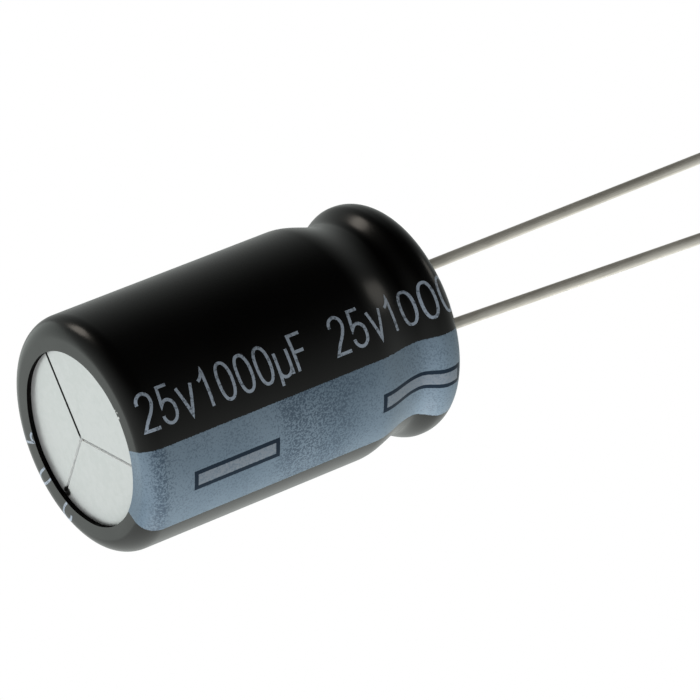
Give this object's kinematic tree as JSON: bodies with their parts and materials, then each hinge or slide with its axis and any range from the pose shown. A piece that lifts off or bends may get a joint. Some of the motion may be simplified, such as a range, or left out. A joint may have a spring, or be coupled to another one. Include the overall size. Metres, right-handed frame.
{
  "type": "electrolytic capacitor",
  "caption": "Sleeved aluminium can standing on its scored closed end, with a rubber bung and wire leads of unequal length at the open end; stores charge in a circuit.",
  "frame": {"origin": "centre of the sleeve's lip ring under the closed end, on the surface that the capacitor stands on", "axes": "+Z from the closed end to the wires; X through both wires, with the negative wire and the printed stripe at +X; Y square to both"},
  "size_m": [0.0128, 0.0128, 0.0456],
  "materials": {
    "sleeve_film": "soft gloss shrink film, near black, with a grey-blue stripe",
    "can_aluminium": "satin drawn aluminium",
    "bung_rubber": "matte moulded rubber",
    "winding": "foil and soaked paper wound into a roll",
    "tape": "thin glossy tape",
    "tab_aluminium": "plain rolled aluminium",
    "tinned_wire": "dull tinned wire with fine drawing lines"
  },
  "bodies": {
    "root": {"sleeve": "sleeve_film", "can": "can_aluminium", "bung": "bung_rubber", "wound_element": "winding", "element_tape": "tape", "tab_positive": "tab_aluminium", "tab_negative": "tab_aluminium", "lead_positive": "tinned_wire", "lead_negative": "tinned_wire"}
  },
  "joints": []
}
